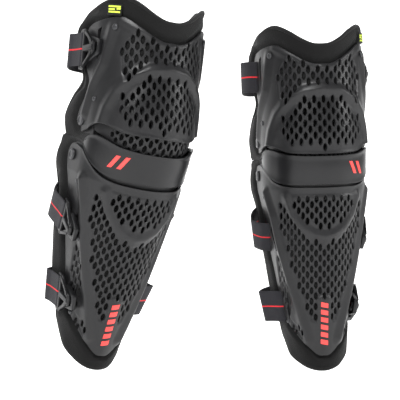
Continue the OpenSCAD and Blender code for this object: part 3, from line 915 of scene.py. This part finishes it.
def set_at(piece, place, direction):
    """Moves a turned piece so that its base is at place and its axis points along direction."""
    turn = Vector(direction).to_track_quat("Z", "Y").to_matrix().to_4x4()
    piece.data.transform(Matrix.Translation(place) @ turn)
    return piece


def pivot_rivets(name, at):
    """The two pivot rivets of a plate, one on each side."""
    profile = [(3.0, -8.5), (3.0, -0.4), (7.4, -0.4), (7.6, 0.4), (7.3, 1.3), (6.3, 2.1),
               (4.9, 2.4), (4.3, 2.1), (3.7, 1.7), (2.2, 1.75), (0.6, 1.8)]
    heads = []
    for side in (-1, 1):
        head = turned("rivet", profile)
        heads.append(set_at(head, (side * (plate_r + 0.6), at[0], at[1]), (side, 0, 0)))
    return smooth(joined(heads, name), 40)


stand(pivot_rivets("thigh_rivets", (0, 0)), "thigh", rivet_metal, "rivet_grey", ["thigh_pivots"])
stand(pivot_rivets("shin_rivets", (-pivot_y, -pivot_z)), "shin", rivet_metal, "rivet_grey",
      ["shin_pivots"])


def studs(name, spots, radius, centre_y, relief):
    """Small studs set square on a plate, at spots given as girth, height and radius."""
    heads = []
    for a, z, r in spots:
        out = float(relief(np.array([a]), np.array([z]))[0])
        x, y = round_leg(np.array([a]), np.array([out]), np.array([z]), radius, centre_y)
        turn = max(-math.pi / 2, min(math.pi / 2, a / float(radius(z))))
        head = turned("stud", [(1.5, -5), (1.5, -0.3), (r, -0.3), (r, 0.5), (r * 0.86, 1.3),
                               (r * 0.6, 1.9), (r * 0.25, 2.2), (0.2, 2.25)], 28)
        square_on = (math.sin(turn), -math.cos(turn), 0)
        heads.append(set_at(head, (float(x[0]), float(y[0]), z), square_on))
    return smooth(joined(heads, name), 40)


thigh_stud_spots = [(-78.5, 119, 4.3), (78.5, 119, 4.3), (-107, 26, 3.6), (107, 26, 3.6)]
stand(studs("thigh_liner_studs", thigh_stud_spots, thigh_r, -nose, thigh_relief),
      "thigh", rivet_metal, "rivet_grey", ["thigh_studs"])
shin_stud_spots = [(s * a, z, r) for s in (-1, 1) for a, z, r in
                   [(107, -54, 3.6), (78, -128, 3.8), (61, -232, 3.2)]]
stand(studs("shin_liner_studs", shin_stud_spots, shin_r, cone_y, shin_relief),
      "shin", rivet_metal, "rivet_grey", ["shin_studs"])
for side in ("right", "left"):
    washers = frame["nodes"][f"{side}_pivot_washers"]
    washers.data.materials.clear()
    washers.data.materials.append(rivet_metal)

# %% [markdown]
# ## Liner
# The liner is foam under a brushed knit, bound round its edge. It stands above the thigh plate
# as a collar, shows past the plates' rear edges and flares round the pivots. The foam swells
# where no plate holds it down, so each half is blown up as cloth with a limit that is small
# under the plate and larger outside it. The halves meet behind the cup and bend at the hinges.

# %% The liner's two halves


liner_inset = 4.4  # how far the liner's face lies inside the plate's face
liner_rise = 4.2  # how far it rises where no plate holds it down


def outline_of(low, rear, top):
    """A closed outline from its bottom, right-hand and top edges."""
    left = [(-a, z) for a, z in rear]
    return list(low) + list(rear)[1:] + list(top)[::-1][1:] + left[::-1][1:-1]


def outside_by(a, z, outline):
    """How far each point is outside an outline, and 0 inside it."""
    return np.where(inside(a, z, outline), 0, distance_to(a, z, outline + outline[:1]))


def puffed(piece, limit):
    """Blows a closed piece up as cloth, each point moving no further than its limit."""
    before = points_of(piece)
    move_points(piece, before / 1000)
    modifier = piece.modifiers.new("cloth", "CLOTH")
    cloth = modifier.settings
    cloth.quality = 4
    cloth.mass = 0.2
    cloth.tension_stiffness = cloth.compression_stiffness = 8
    cloth.shear_stiffness = 4
    cloth.bending_stiffness = 0.3
    cloth.use_pressure = True
    cloth.uniform_pressure_force = 4
    cloth.effector_weights.gravity = 0
    modifier.point_cache.frame_start, modifier.point_cache.frame_end = 1, 20
    for frame_number in range(1, 21):
        bpy.context.scene.frame_set(frame_number)
    only(piece)
    bpy.ops.object.modifier_apply(modifier=modifier.name)
    bpy.context.scene.frame_set(1)
    move = points_of(piece) * 1000 - before
    far = np.linalg.norm(move, axis=1)
    capped = np.minimum(far, limit) / np.maximum(far, 1e-9)
    move_points(piece, before + move * capped[:, None])
    print(piece.name, "swelled by up to", round(float(np.minimum(far, limit).max()), 1), "mm")
    return piece


def bead(name, line, thick, segments=8):
    """A closed round cord along a loop of flat points (girth, out, height)."""
    line = np.array(line, float)
    piece = fresh(name, bpy.ops.mesh.primitive_torus_add, major_segments=len(line),
                  minor_segments=segments)
    along = np.roll(line, -1, axis=0) - np.roll(line, 1, axis=0)
    along /= np.linalg.norm(along, axis=1)[:, None] + 1e-9
    side = np.cross(along, (0, 1, 0))
    side /= np.linalg.norm(side, axis=1)[:, None] + 1e-9
    turn = np.linspace(0, 2 * math.pi, segments, endpoint=False)
    ring = line[:, None] + thick * (np.cos(turn)[None, :, None] * side[:, None]
                                    + np.sin(turn)[None, :, None] * np.array([0, 1, 0]))
    move_points(piece, ring.reshape(-1, 3))
    return piece


def liner_half(name, columns, rows, low, top, rear, plate, radius, centre_y, hidden_z, cup_end):
    """One half of the liner and the binding round its free edge, formed on the bench."""
    away = 1 if cup_end > hidden_z else -1
    piece = blank(name, columns, rows, low, top, rear)
    thicken(piece, 10.0, 0)
    flat = points_of(piece)
    beyond = outside_by(flat[:, 0], flat[:, 2], plate)

    def swell(a, z):
        clear_of_cup = ease(away * (z - cup_end) / 14)
        on_flank = ease((np.abs(a) - radius(z) * math.pi / 2 + 22) / 22)
        beyond_plate = outside_by(a, z, plate) * np.maximum(clear_of_cup, on_flank)
        out = liner_rise * ease((beyond_plate - 1) / 9)
        out += 0.22 * np.maximum(beyond_plate - 10, 0) * on_flank
        return out - liner_rise * (1 - clear_of_cup) * (1 - on_flank)

    form(piece, radius, centre_y, swell, inset=liner_inset)
    free_foam = ease((beyond - 2) / 12) * ease(away * (flat[:, 2] - hidden_z) / 30)
    puffed(piece, 0.4 + 3.0 * free_foam)
    finish_with(piece, "BEVEL", width=3.2, segments=4, limit_method="ANGLE",
                angle_limit=math.radians(55))
    loop = curve_through(outline_of(low, rear, top) + [tuple(low[0])], 251)[:-1]
    free = np.abs(loop[:, 1] - hidden_z) > 3
    inward, depth = np.where(free, 0.985, 0.97), np.where(free, 2.2, 5)
    line = np.stack([loop[:, 0] * inward, depth, loop[:, 1]], axis=1)
    binding = bead(name + "_binding", line, 2.8)
    form(binding, radius, centre_y, swell, inset=liner_inset)
    return smooth(piece, 60), smooth(binding, 60)


thigh_outline = outline_of(thigh_low, thigh_rear, thigh_top)
shin_outline = outline_of(shin_low, shin_rear, shin_top)
collar = both_sides([(0, 129), (14, 130.5), (30, 138), (46, 148), (60, 155), (72, 158.5),
                     (84, 158), (100, 154),
                     (118, 148)] + [(girth(6, 141, thigh_r, -nose), 141)])
flap = from_side([(34, -24), (42, -12), (46, 2), (42, 16), (28, 33), (11, 46), (7, 57), (15, 71),
                  (26, 88),
                  (29, 106), (26, 126), (6, 141)], thigh_r, -nose)
upper_low = both_sides([(0, -24), (60, -24), (120, -24)] + [flap[0]])
upper_liner, upper_binding = liner_half("upper_liner", 120, 84, upper_low, collar, flap,
                                        thigh_outline,
                                        thigh_r, -nose, -24, 56)

shin_flap = from_side([(10, -247), (20, -219), (31, -192), (35, -160), (37, -130), (35, -104),
                       (33, -84), (36, -66), (43, -48), (47, -34), (44, -18), (34, 0)],
                      shin_r, cone_y)
shin_tip = both_sides([(0, -301), (14, -299.5), (30, -294.5), (46, -286), (62, -274.5),
                       (78, -261)] + [shin_flap[0]])
shin_head = both_sides([(0, 0), (60, 0), (120, 0)] + [shin_flap[-1]])
lower_liner, lower_binding = liner_half("lower_liner", 120, 120, shin_tip, shin_head, shin_flap,
                                        shin_outline, shin_r, cone_y, 0, -88)


# %% [markdown]
# The liner is one sheet of foam, so its two halves are stood up along a bend: above the pivot
# a point follows the thigh plate, at the middle of the knee it follows the cup, and in
# between it follows a mix of the two.

# %% Stand the liner up


def stand_liner(piece, part, material, slot, nodes):
    """Both copies of a liner piece, bent from the plate's pose to the cup's."""
    high, low = (30, -24) if part == "thigh" else (-52, 0)
    for side, copy in own_copies(piece, material):
        flat = points_of(copy)
        share = ease((flat[:, 2] - low) / (high - low))[:, None]
        own, knee = np.array(bench_to_pair(side, part)), np.array(bench_to_pair(side, "knee"))
        if part == "thigh":
            knee = knee @ np.array(Matrix.Translation((0, pivot_y, pivot_z)))
        full = np.c_[flat, np.ones(len(flat))]
        move_points(copy, share * (full @ own.T)[:, :3] + (1 - share) * (full @ knee.T)[:, :3])
        if side == "left":
            copy.data.flip_normals()
        start, end = (Matrix(m) @ Vector((0, 0, z)) for m, z in ((own, high), (knee, low)))
        tuple(start)
        tuple(end)
        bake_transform(copy)
        declare(copy, side, nodes, slot)


stand_liner(upper_liner, "thigh", liner_knit, "pad_black", ["thigh_pad"])
stand_liner(upper_binding, "thigh", binding_knit, "pad_black", [])
stand_liner(lower_liner, "shin", liner_knit, "pad_black", ["shin_pad", "shin_foam", "knee_foam"])
stand_liner(lower_binding, "shin", binding_knit, "pad_black", [])
print("liner halves", [n for n in made if "liner" in n and "stud" not in n])

# %% [markdown]
# ## Clips
# Each strap ends on a clip: a moulded frame, wide at the bar that holds the webbing and
# narrow at the nose that hooks into a pocket on the plate. Two deep triangular openings flank
# a raised web. It is built from slabs cut to their side outlines, drawn from the swing axis.

# %% The clip and its pocket


def prism_cut(piece, outline, near=-20, far=20):
    """Cuts a side-view outline (y, z) right through a slab."""
    tool = side_slab("tool", outline, near, far, 0.4)
    finish_with(piece, "BOOLEAN", operation="DIFFERENCE", object=tool, solver="MANIFOLD")
    bpy.data.objects.remove(tool)


def round_corners(outline, reach=2.0, steps=4):
    """The outline with every corner replaced by a short curve."""
    ring = np.array(outline, float)
    soft = []
    for i, corner in enumerate(ring):
        before, after = ring[i - 1] - corner, ring[(i + 1) % len(ring)] - corner
        r = min(reach, np.linalg.norm(before) / 2.2, np.linalg.norm(after) / 2.2)
        a, b = corner + before / np.linalg.norm(before) * r, corner + after / np.linalg.norm(after) * r
        for t in np.linspace(0, 1, steps):
            soft.append(tuple((1 - t) ** 2 * a + 2 * t * (1 - t) * corner + t * t * b))
    return soft


def make_clip():
    """A clip's frame, web, rail, arms, lug and barrel, drawn from its swing axis."""
    frame_line = [(-3, -5.5), (2, -9), (9, -12.5), (24, -25), (27, -27), (36, -27), (38.5, -24.5),
                  (38.5, 24.5),
                  (36, 27), (27, 27), (24, 25), (9, 12.5), (2, 9), (-3, 5.5)]
    body = side_slab("body", round_corners(frame_line, 2.5), -4.4, -0.4, 1.1)
    arms = []
    for side in (-1, 1):
        opening = [(8.5, side * 4.6), (23, side * 4.6), (23.5, side * 17.5), (20, side * 17)]
        prism_cut(body, round_corners(opening[::side], 1.6))
        arm = [(3, side * 6.5), (3, side * 9.4), (24, side * 24.6), (26, side * 21)]
        arms.append((round_corners(arm[::side], 1.0), -5.6, -2.6, 0.8))
    prism_cut(body, round_corners([(28.7, -23), (33.2, -23), (33.2, 23), (28.7, 23)], 1.2))
    web_line = round_corners([(-1, -3.2), (25.5, -4), (25.5, 4), (-1, 3.2)], 1.5)
    web = side_slab("web", web_line, -6.4, -2.4, 1.0)
    rail_line = round_corners([(24, -25.5), (28, -25.5), (28, 25.5), (24, 25.5)], 1.5)
    rail = side_slab("rail", rail_line, -6.0, -2.4, 1.0)
    arms = [side_slab("arm", *arm) for arm in arms]
    lug_line = round_corners([(-0.2, -4.6), (3, -4.6), (3, 4.6), (-0.2, 4.6)], 0.8)
    lug = side_slab("lug", lug_line, -3.0, 5.0, 0.5)
    barrel = fresh("barrel", bpy.ops.mesh.primitive_cylinder_add, vertices=24, radius=2.8,
                   depth=11, location=(-2.4, -0.5, 0))
    bpy.ops.object.transform_apply(location=True)
    return smooth(joined([body, web, rail, *arms, lug, barrel], "clip"), 40)


def make_pocket():
    """The pocket on the plate that a clip's nose hooks into."""
    rim_line = [(-11, -10), (4, -13.5), (17, -17), (19, -14), (19, 14), (17, 17), (4, 13.5),
                (-11, 10)]
    plate = side_slab("pocket", round_corners(rim_line, 3), -1.2, 4.5, 1.2)
    prism_cut(plate, round_corners([(-6, -6.5), (21, -11), (21, 11), (-6, 6.5)], 2))
    return smooth(plate, 40)


clip_spots = {"thigh": ("thigh", Matrix.Translation((-78, -28, 94)))}
for name, y, z, tilt in (("calf", -10, -112, 24), ("ankle", -14, -212, 6)):
    r = float(shin_r(z))
    stand_at = Matrix.Translation((0, y, z)) @ Matrix.Rotation(math.radians(tilt), 4, "X")
    stand_at = stand_at @ Matrix.Translation((-r - 4, -20, 0)) @ Matrix.Rotation(-math.atan(taper),
                                                                                 4, "Y")
    clip_spots[name] = ("shin", stand_at)
for name, (part, where) in clip_spots.items():
    clip, pocket = make_clip(), make_pocket()
    clip.name, pocket.name = f"{name}_clip_frame", f"{name}_clip_pocket"
    for piece in (clip, pocket):
        piece.data.transform(where)
    stand(clip, part, clip_plastic, "cup_black", [f"{name}_hook"], f"{name}_clip")
    stand(pocket, part, clip_plastic, "cup_black")

# %% [markdown]
# ## Straps
# Each strap is ribbed elastic about 44 mm wide. It starts behind a window in the plate's inner
# flank, goes round behind the leg and folds back on itself round the clip's bar. A ribbon grid
# is laid along that path, so its UV map runs along the strap, where the ribs and the red line
# are drawn.

# %% The straps


strap_width = 44


def strap_path(reach, hook_x, stretch, slack):
    """The strap's path seen from above, from the window to its stitched end."""
    start = [(reach - 15, -0.6), (reach - 8, -0.3), (reach - 1, -0.2), (reach + 7, 2)]
    turn = np.linspace(math.radians(9), math.pi - math.asin(36 / reach), 22)
    wide = np.sign(np.cos(turn)) * np.abs(np.cos(turn)) ** 0.6 * (reach + slack)
    back = list(zip(wide, reach * np.sin(turn) * stretch))
    x = hook_x
    end = [(x - 8.5, 30), (x - 6.6, 21.5), (x - 5.6, 15), (x - 5.2, 11.2), (x - 3.4, 9.9),
           (x - 1.2, 9.9),
           (x + 1.0, 11.2), (x + 1.4, 15), (x + 1.4, 21.5)]
    return start + back + end


def make_strap(name, at_y, at_z, tilt, reach, hook_x, slack):
    """A strap on the bench, level with its windows and tilted up to the back."""
    count = 230
    path = curve_through(strap_path(reach, hook_x, 1 / math.cos(math.radians(tilt)), slack),
                         count + 1)
    piece = fresh(name, bpy.ops.mesh.primitive_grid_add, x_subdivisions=count,
                  y_subdivisions=14, size=2)
    p = points_of(piece)
    i = np.rint((p[:, 0] + 1) / 2 * count).astype(int)
    across = p[:, 1] * strap_width / 2
    c, s = math.cos(math.radians(tilt)), math.sin(math.radians(tilt))
    x, along = path[i, 0], path[i, 1]
    wave = 0.8 * np.sin(i / count * 21) * np.clip(np.minimum(i, count - 40 - i) / 30, 0, 1)
    z = at_z + along * s + (across + wave) * c
    y = at_y + along * c - across * s
    x = x * (1 if name.startswith("thigh") else (shin_r(z) + 6) / reach)
    move_points(piece, np.stack([x, y, z], axis=1))
    finish_with(piece, "SOLIDIFY", thickness=1.7, offset=0)
    finish_with(piece, "BEVEL", width=0.5, segments=2, limit_method="ANGLE",
                angle_limit=math.radians(60))
    return smooth(piece, 50)


for name, at_y, at_z, tilt, slack in (("thigh", -8, 94, 0, 14), ("calf", -10, -112, 24, 15),
                                      ("ankle", -14, -212, 6, 22)):
    part = "thigh" if name == "thigh" else "shin"
    r = plate_r if name == "thigh" else float(shin_r(at_z))
    hook_x = -r - (3 if name == "thigh" else 4)
    strap = make_strap(f"{name}_webbing", at_y, at_z, tilt, r + 6, hook_x, slack)
    nodes = [f"{name}_strap", f"{name}_hook_loop"]
    for copy in stand(strap, part, strap_web, "strap_black", nodes, "blend"):
        side = copy.name.split("_")[0]
        place = bench_to_pair(side, part)
        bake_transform(copy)

# %% [markdown]
# ## Red marks and the patch
# The red marks are thin soft plastic set on the surface: two slanted bars on the outer side of
# the band, a row of slanted bars up the shin, and on the liner's outer corner a small printed
# patch. Each is a small grid laid over the same surface as the piece below it.

# %% Marks


def tile(name, a, z, wide, tall, slant=0.0, skew=0.0, wall=0.6):
    """A small flat tile at a girth and height; slant leans its sides, skew its top and bottom."""
    piece = fresh(name, bpy.ops.mesh.primitive_grid_add, x_subdivisions=8, y_subdivisions=8, size=2)
    p = points_of(piece)
    move_points(piece, np.stack([a + p[:, 0] * wide / 2 + p[:, 1] * slant, 0 * p[:, 0],
                                 z + p[:, 1] * tall / 2 + p[:, 0] * skew], axis=1))
    return thicken(piece, wall, 0.2)


def on_band(piece, proud):
    """Lays a flat piece on the band, standing proud of it."""
    p = points_of(piece)
    move_points(piece, round_band(p[:, 0] / band_r, band_r + proud - p[:, 1], p[:, 2]))


emblem = joined([tile("bar", -51 + a, -17, 6, 17, 4.5) for a in (-6.5, 6.5)], "band_emblem")
on_band(emblem, 1.5)
stand(smooth(emblem), "knee", signal_red, "signal_red", ["knee_badge"])
shin_marks = joined([tile("bar", 0, -262 + 10.6 * i, 10, 6.6, 0, 1.2, 1.2) for i in range(6)],
                    "shin_marks")
form(shin_marks, shin_r, cone_y, lambda a, z: shin_relief(a, z) + 0.5)
stand(smooth(shin_marks), "shin", signal_red, "signal_red", ["shin_stripe"])
patch_a, patch_z = -82, 142
patch = tile("collar_patch", patch_a, patch_z, 22, 15, 0, -1.0, 0.9)
form(patch, thigh_r, -nose, lambda a, z: 0 * a + 2.6)
stand(smooth(patch), "thigh", binding_knit, "label_yellow", ["rating_label"])
print_bars = joined([tile("bar", patch_a + da, patch_z + dz, w, 2.4, 0, -1.0 * w / 22, 0.5)
                     for da, dz, w in ((0, 4.0, 19), (-4, 0.6, 10), (6.5, 0.6, 6), (0, -3.2, 18))],
                     "patch_bars")
form(print_bars, thigh_r, -nose, lambda a, z: 0 * a + 2.9)
stand(smooth(print_bars), "thigh", label_print, "label_yellow")

# %% [markdown]
# ## Studio
# A plain pale floor and soft, broad lights show the dark plastic by its highlights: one large
# light from the upper left front, a weaker one from the right, and one above and behind for
# the rims. The camera stands level with the knees, a little to the pair's right.

# %% Floor, lights and camera
lowest = min((m.matrix_world @ Vector(c)).z for m in made.values() for c in m.bound_box)
bpy.ops.mesh.primitive_plane_add(size=14, location=(0, 0, lowest - 0.004))
floor = bpy.context.object
floor.name = "floor"
paper, nodes, links, shader = new_material("studio_paper", (0.86, 0.86, 0.86), 0.8)
floor.data.materials.append(paper)


def softbox(name, place, aim, size, power):
    """A square area light turned to face a point."""
    bpy.ops.object.light_add(type="AREA", location=place)
    lamp = bpy.context.object
    lamp.name = name
    lamp.data.shape = "SQUARE"
    lamp.data.size = size
    lamp.data.energy = power
    lamp.rotation_euler = (Vector(aim) - Vector(place)).to_track_quat("-Z", "Y").to_euler()
    return lamp


bpy.ops.mesh.primitive_plane_add(size=9, location=(1.2, 3.2, 0), rotation=(math.pi / 2, 0, 0))
backdrop = bpy.context.object
backdrop.name = "backdrop"
backdrop.data.materials.append(paper)
shader.inputs["Emission Color"].default_value = (1, 1, 1, 1)
shader.inputs["Emission Strength"].default_value = 0.8
softbox("key_light", (-1.5, -1.7, 2.1), (0, 0, 0), 0.8, 105)
softbox("fill_light", (2.0, -1.2, 0.6), (0, 0, 0), 0.6, 24)
softbox("rim_light", (0.4, 1.6, 2.2), (0, 0, 0), 1.2, 45)
bpy.context.scene.view_settings.view_transform = "Standard"
world = bpy.data.worlds.new("studio")
world.use_nodes = True
world.node_tree.nodes["Background"].inputs["Color"].default_value = (1, 1, 1, 1)
world.node_tree.nodes["Background"].inputs["Strength"].default_value = 0.26
bpy.context.scene.world = world

azimuth, elevation, distance = math.radians(-21.9), math.radians(-0.8), 2.4
away = Vector((math.sin(azimuth) * math.cos(elevation), -math.cos(azimuth) * math.cos(elevation),
               math.sin(elevation)))
right = Vector((math.cos(azimuth), math.sin(azimuth), 0))
upward = right.cross(-away)
aim = -0.030 * right - 0.068 * upward
bpy.ops.object.camera_add(location=aim + distance * away)
camera = bpy.context.object
camera.data.lens = 154.6
camera.rotation_euler = (-away).to_track_quat("-Z", "Y").to_euler()
bpy.context.scene.camera = camera
print("camera at", [round(v, 3) for v in camera.location])
